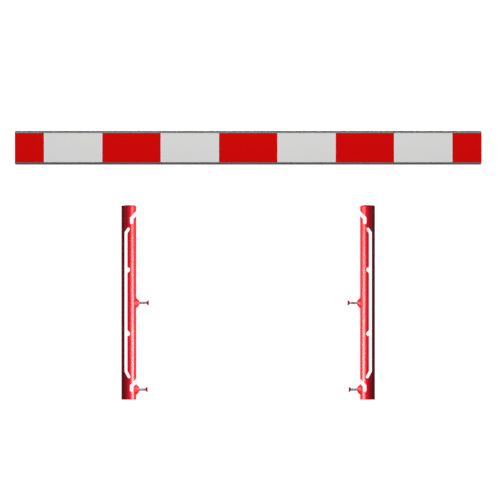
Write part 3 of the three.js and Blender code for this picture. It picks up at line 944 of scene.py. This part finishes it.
def washer():
    hole, rim = WASHER_HOLE, WASHER_RADIUS
    rows = [
        (hole, WASHER_LOW, 0.3), (rim, WASHER_LOW, 0.7),
        (rim, WASHER_HIGH, 1.0), (hole, WASHER_HIGH, 0.5),
    ]
    return turned_line(rows, "y", 96, shell=True)


def wing_nut():
    """A forged wing nut: hub and wings fused and smoothed, then its bore and seat are machined."""
    base = WING_START
    rows = [
        (0, base - 1, 0), (11.5, base - 1, 0), (11.4, base + 3, 3),
        (9, base + 13, 1.5), (8, base + 15, 0), (0, base + 15, 0),
    ]
    hub = turned_line(rows, "y", 48)
    outline = [
        (0, 1.2, 0), (12, 1.2, 6), (27.5, 7.5, 12), (30.6, 14, 8),
        (30.6, 24.7, 5.7), (21, 24.7, 5.7), (17.5, 14.5, 9), (0, 10.8, 0),
    ]
    line = rounded(outline, 6)
    wings = []
    for turn in (1, -1):
        bm = bmesh.new()
        shells = []
        for distance, half in ((1.3, 1.3), (0.1, 2.1), (0.1, -2.1), (1.3, -1.3)):
            shell = []
            for p in inset(line, distance):
                slim = 1 - 0.28 * max(0, min(1, (p.x - 10) / 20))
                shell.append(bm.verts.new((turn * p.x, base + p.y, half * slim)))
            shells.append(shell)
        bridge(bm, shells)
        bm.faces.new(shells[0])
        bm.faces.new(reversed(shells[-1]))
        outward(bm)
        wings.append(bm)
    outward(hub)
    low, high = base - 5, base + 40
    rod = turned_line([(0, low, 0), (THREAD_BORE, low, 0), (THREAD_BORE, high, 0), (0, high, 0)], "y", 48)
    outward(rod)
    tool = linked("tool", as_mesh("tool", rod))
    steps = [
        ("REMESH", {"mode": "VOXEL", "voxel_size": 0.55, "use_smooth_shade": True}),
        ("SMOOTH", {"factor": 0.5, "iterations": 8}),
        ("DECIMATE", {"ratio": 0.35}),
        ("BOOLEAN", {"operation": "DIFFERENCE", "solver": "EXACT", "object": tool}),
    ]
    part = modified(joined(hub, *wings), steps)
    discard(tool)
    geom = part.verts[:] + part.edges[:] + part.faces[:]
    plane = {"plane_co": (0, base, 0), "plane_no": (0, -1, 0)}
    cut = bmesh.ops.bisect_plane(part, geom=geom, dist=1e-4, clear_outer=True, **plane)
    edges = [e for e in cut["geom_cut"] if isinstance(e, bmesh.types.BMEdge)]
    bmesh.ops.triangle_fill(part, edges=edges, use_beauty=True)
    return part


for side in SIDES:
    put = turned_to(Vector((HANGER[side].x, 0, BOARD.z)))
    bolt = joined(t_head(), threaded("y", CHANNEL_FLOOR + 5.5, TAIL, 0, 1.3))
    publish(side + "_bolt", bolt, put, ZINC, side + "_hanger", side + "_hanger_bolt")
    nut = turned(lambda a: nut_rows(a, NUT_BASE, NUT_BASE + 12, 44, FLANGE), "y", 96, shell=True)
    publish(side + "_flanged_nut", nut, put, ZINC, side + "_hanger", side + "_flange_nut")
    publish(side + "_plate_washer", washer(), put, ZINC, side + "_washer", side + "_washer")
    publish(side + "_wings", wing_nut(), put, ZINC, side + "_wing_nut", side + "_wing_nut")

# ---- board

HALF_LENGTH = BOARD_SIZE.x / 2
HALF_HEIGHT = BOARD_SIZE.z / 2
EDGE_RADIUS = BOARD_SIZE.y / 2
ARC_CENTRE = HALF_HEIGHT - EDGE_RADIUS
CHAMFER = 3.4
WALL = 1.6
RECESS = 0.9
FILM_HALF = 62.5
CREASE = HALF_HEIGHT - 2 * CHAMFER


def board_end(z):
    """How far the board reaches along X at a height, past its slanted corners."""
    return HALF_LENGTH - max(0.0, abs(z) - CREASE) / 2


def arc(centre, radius, first, last, steps, height):
    """Points of an arc as (y, z), with one where it crosses a height."""
    angles = [first + (last - first) * k / steps for k in range(steps + 1)]
    cross = math.asin((height - centre) / radius)
    for angle in (cross, math.pi - cross, cross + 2 * math.pi):
        if first < angle < last:
            nearest = min(range(len(angles)), key=lambda i: abs(angles[i] - angle))
            angles[nearest] = angle
    return [Vector((radius * math.cos(a), centre + radius * math.sin(a))) for a in angles]


def mirrored(half):
    """Half of a rear side, given upwards from the middle, with its mirror image below it."""
    return [(y, -z, radius) for y, z, radius in reversed(half)] + half


def board_section():
    """The outer outline of the board's section as (y, z), counter-clockwise."""
    lip, floor = EDGE_RADIUS - LIP, EDGE_RADIUS - CHANNEL_DEPTH
    low, high = -EDGE_RADIUS + RECESS, FILM_HALF + 0.3
    start = math.asin((high - ARC_CENTRE) / EDGE_RADIUS)
    half = [
        (floor, CHANNEL_HALF, 0.6), (lip, CHANNEL_HALF, 0.5), (lip, MOUTH_HALF, 0.4),
        (EDGE_RADIUS, MOUTH_HALF, 0.5), (EDGE_RADIUS, ARC_CENTRE - 2, 0),
    ]
    rear = rounded(mirrored(half), 3, closed=False)
    top = arc(ARC_CENTRE, EDGE_RADIUS, 0, math.pi - start, 28, CREASE)
    bottom = arc(-ARC_CENTRE, EDGE_RADIUS, math.pi + start, 2 * math.pi, 28, -CREASE)
    front = [Vector((low, high - 0.12)), Vector((low, -high + 0.12))]
    return rear[1:-1] + top + front + bottom


def hollow_section(clearance):
    """The outline of the board's hollow as (y, z), counter-clockwise, or of the plug that fits in it."""
    wall = WALL + clearance
    radius = EDGE_RADIUS - wall
    front = -EDGE_RADIUS + RECESS + wall
    channel = CHANNEL_HALF + wall
    floor = EDGE_RADIUS - CHANNEL_DEPTH - wall
    turn = math.acos(-front / radius)
    half = [(floor, channel, 0.8), (radius, channel, 0.8), (radius, ARC_CENTRE - 2, 0)]
    rear = rounded(mirrored(half), 3, closed=False)
    top = arc(ARC_CENTRE, radius, 0, math.pi - turn, 20, CREASE)
    bottom = arc(-ARC_CENTRE, radius, math.pi + turn, 2 * math.pi, 20, -CREASE)
    return rear[1:-1] + top + bottom


def extrusion():
    """The hollow board profile, with eased ends."""
    ease, stations = 0.3, 33
    bm = bmesh.new()

    def ring(line, share, less):
        return [bm.verts.new((share * (board_end(p.y) - less), p.x, p.y)) for p in line]

    ends, outlines = ([], []), []
    for line, sign in ((board_section(), 1), (hollow_section(0), -1)):
        eased = inset(line, sign * ease)
        rings = [ring(line, 2 * k / stations - 1, ease) for k in range(stations + 1)]
        rings = [ring(eased, -1, 0), *rings, ring(eased, 1, 0)]
        bridge(bm, rings)
        ends[0].extend(rings[0])
        ends[1].extend(rings[-1])
        outlines.append(eased)
    places = [*outlines[0], *outlines[1]]
    split = len(outlines[0])
    edges = []
    for first, count in ((0, split), (split, len(outlines[1]))):
        edges += [(first + i, first + (i + 1) % count) for i in range(count)]
    _, _, triangles, origin, _, _ = delaunay_2d_cdt(places, edges, [], 0, 1e-6)
    loops = [np.array([tuple(p) for p in line]) for line in outlines]
    for triangle in triangles:
        corners = [origin[i][0] for i in triangle]
        centre = np.array([[sum(places[c][k] for c in corners) / 3 for k in (0, 1)]])
        if is_inside(centre, loops[0])[0] and not is_inside(centre, loops[1])[0]:
            for end in ends:
                bm.faces.new([end[c] for c in corners])
    return bm


def layered(line, layers):
    """A solid of rings, closed at both ends. Each layer is (inset, x at a height)."""
    bm = bmesh.new()
    rings = []
    for distance, x_of in layers:
        ring = inset(line, distance) if distance else line
        rings.append([bm.verts.new((x_of(p.y), p.x, p.y)) for p in ring])
    bridge(bm, rings)
    bm.faces.new(rings[0])
    bm.faces.new(rings[-1])
    return bm


def plug():
    """A moulded end plug with a sunk face, drawn for the right end."""
    inner = HALF_LENGTH - 12
    layers = [(0.8, lambda z: inner), (0.0, lambda z: inner + 1.2)]
    for distance, less in ((0.0, 0.5), (0.15, 0.15), (0.5, 0.0), (1.3, 0.0), (1.5, 0.9)):
        layers.append((distance, lambda z, less=less: board_end(z) - less))
    return layered(hollow_section(0.3), layers)


publish("board_extrusion", extrusion(), turned_to(BOARD), ALUMINIUM, "board", "board_profile", 30)
for side, inward in SIDES.items():
    at_end = lambda p, turn=-inward: Vector((BOARD.x + turn * p.x, BOARD.y + p.y, BOARD.z + p.z))
    publish(side + "_end_plug", plug(), at_end, DARK, "board", "board_end_plug_" + side, 30)


def sheet(low, high):
    """A sheet of film with eased edges, in the box from low to high. Its face is divided into a grid."""
    size = high - low
    ease = 0.16
    columns, rows = max(4, round(size.x / 25)), 5
    cells = [(i, j) for j in range(rows + 1) for i in range(columns + 1)]
    rim = [(i, 0) for i in range(columns)] + [(columns, j) for j in range(rows)]
    rim += [(i, rows) for i in range(columns, 0, -1)] + [(0, j) for j in range(rows, 0, -1)]
    bm = bmesh.new()
    layers = []
    deep = size.y
    for less, depth, used in ((ease, 0, cells), (0, ease, rim), (0, deep - 0.05, rim), (0.05, deep, cells)):
        x0, y, z0 = low.x + less, low.y + depth, low.z + less
        wide, tall = size.x - 2 * less, size.z - 2 * less
        places = {(i, j): (x0 + wide * i / columns, y, z0 + tall * j / rows) for i, j in used}
        layers.append({cell: bm.verts.new(place) for cell, place in places.items()})
    for layer in (layers[0], layers[-1]):
        for i in range(columns):
            for j in range(rows):
                bm.faces.new([layer[cell] for cell in ((i, j), (i + 1, j), (i + 1, j + 1), (i, j + 1))])
    bridge(bm, [[layer[cell] for cell in rim] for layer in layers])
    return bm


for colour, material, count in (("red", FILM_RED, 5), ("white", FILM_WHITE, 4)):
    for number in range(1, count + 1):
        node = f"film_{colour}_{number}"
        low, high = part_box(node)
        bm = sheet(low / MM, high / MM)
        publish(f"{colour}_sheet_{number}", bm, lambda p: p.copy(), material, "board", node, 30)

# ---- floor, light and camera


def staged(name, bm, material):
    thing = linked(name, as_mesh(name, bm))
    thing.data.materials.append(material)
    thing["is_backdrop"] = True
    return thing


def floor():
    bm = bmesh.new()
    bmesh.ops.create_grid(bm, x_segments=8, y_segments=8, size=30)
    f = Finish("pale_floor")
    cloud = f.patches(0.92, 0.95, 2, 2)
    tone = f.node("CombineColor", {"Red": cloud, "Green": cloud, "Blue": cloud}).outputs[0]
    f.set(Base_Color=tone, Roughness=0.9, Emission_Color=(1, 1, 1, 1), Emission_Strength=0.97)
    ground = staged("floor", bm, f.material)
    ground.visible_diffuse = False
    ground.visible_glossy = False


def backdrop():
    """A far white shell that only the camera sees, so that every view has the same pale surround."""
    bm = bmesh.new()
    bmesh.ops.create_uvsphere(bm, u_segments=32, v_segments=16, radius=60)
    f = Finish("white_surround")
    f.set(Base_Color=(1, 1, 1, 1), Emission_Color=(1, 1, 1, 1), Emission_Strength=1.0)
    shell = staged("backdrop", bm, f.material)
    for way in ("diffuse", "glossy", "transmission", "shadow", "volume_scatter"):
        setattr(shell, "visible_" + way, False)


WHITE, WARM = (1, 1, 1), (1.0, 0.98, 0.86)


def lamp(name, place, target, size, watts, lit, colour=WHITE):
    """An area lamp that shines from a place towards a target, on the pieces in the collection lit."""
    light = bpy.data.lights.new(name, "AREA")
    light.shape = "RECTANGLE"
    light.size, light.size_y = size
    light.energy = watts
    light.color = colour
    thing = linked(name, light)
    thing.location = place
    way = Vector(target) - Vector(place)
    thing.rotation_mode = "QUATERNION"
    thing.rotation_quaternion = way.to_track_quat("-Z", "Y")
    thing.visible_camera = False
    thing.light_linking.receiver_collection = lit


def lit_group(name, names):
    """The pieces that a lamp lights, as a collection."""
    group = bpy.data.collections.new(name)
    for piece in names:
        group.objects.link(SHOWN[piece])
    return group


floor()
backdrop()

world = bpy.data.worlds.new("studio")
world.use_nodes = True
sky = world.node_tree.nodes["Background"].inputs
sky["Color"].default_value = (1, 1, 1, 1)
sky["Strength"].default_value = 0.10
bpy.context.scene.world = world

CLAMPED = ("screw", "head", "nut", "weld")
post_names = {}
for side in SIDES:
    clamps = [f"{side}_{level}_{part}" for level in SCREW_HEIGHTS for part in CLAMPED]
    post_names[side] = [side + "_post", side + "_cap", *clamps]
all_posts = post_names["left"] + post_names["right"]
board_names = [name for name in SHOWN if name not in all_posts]
plugs = [side + "_end_plug" for side in SIDES]
shanks = [name for name in all_posts if name.endswith("_screw")]
HUNG = ("_bolt", "_flanged_nut", "_plate_washer", "_wings")
hangers = [name for name in board_names if name.endswith(HUNG)]
profile_lit = lit_group("profile_lit", ["board_extrusion"])
board_lit = lit_group("board_lit", [name for name in board_names if name != "board_extrusion"])
back_lit = lit_group("back_lit", ["board_extrusion", *plugs])
shanks_lit = lit_group("shanks_lit", shanks)
others_lit = lit_group("behind_lit", [name for name in SHOWN if name not in hangers])
hangers_lit = lit_group("hangers_lit", hangers)

# Lamps beside each post: name, azimuth from the viewer's direction towards the other post, distance,
# height above the floor, size, watts and colour.
BESIDE = (
    ("key_", 58, 2.2, 0.30, (1.4, 0.9), 78, WARM),
    ("flank_", 100, 2.0, 0.70, (1.6, 1.6), 3.5, WHITE),
    ("low_", 70, 1.6, 0.07, (0.30, 0.30), 20, WARM),
    ("outer_", -64, 2.2, 0.9, (0.7, 1.6), 2, WHITE),
)
for side, sign in SIDES.items():
    lit = lit_group(side + "_lit", post_names[side])
    x = POST_AXIS[side].x * MM
    for name, azimuth, distance, height, size, watts, colour in BESIDE:
        turn = math.radians(azimuth)
        place = (x + sign * math.sin(turn) * distance, -math.cos(turn) * distance, height)
        lamp(name + side, place, (x, 0, height), size, watts, lit, colour)
# The other lamps: name, place, height of the target above the origin, size, watts and what they light.
ABOVE, BEHIND = (0, -3.5, 4.4), (0, 4.5, 3.0)
LAMPS = (
    ("board_front", ABOVE, 1.08, (6.0, 2.0), 300, board_lit),
    ("profile_front", ABOVE, 1.08, (6.0, 2.0), 70, profile_lit),
    ("profile_under", (0, -0.9, 0.25), 1.0, (4.0, 0.5), 4.2, profile_lit),
    ("board_back", (0, 4.5, 2.2), 1.08, (8.0, 3.5), 100, back_lit),
    ("shank_front", (0, -3.0, 0.3), 0.25, (3.0, 1.0), 8, shanks_lit),
    ("behind", BEHIND, 0.7, (5.0, 3.0), 260, others_lit),
    ("hangers_back", BEHIND, 0.7, (5.0, 3.0), 95, hangers_lit),
)
for name, place, height, size, watts, lit in LAMPS:
    lamp(name, place, (0, 0, height), size, watts, lit)

# A very long lens, whose frame is FRAME_WIDTH metres wide at the board's face.
DISTANCE, FRAME_WIDTH, FACE_Y = 40.0, 2.142, 0.065
camera_data = bpy.data.cameras.new("camera")
camera = linked("camera", camera_data)
camera_data.sensor_width = 36
camera_data.lens = camera_data.sensor_width * (DISTANCE - FACE_Y) / FRAME_WIDTH
camera_data.clip_start, camera_data.clip_end = 1, 200
camera.location = (0.0078, -DISTANCE, 0.6416)
camera.rotation_euler = (math.radians(90), 0, 0)
bpy.context.scene.camera = camera

bpy.context.scene.view_settings.view_transform = "Standard"
bpy.context.scene.view_settings.look = "None"

low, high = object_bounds()
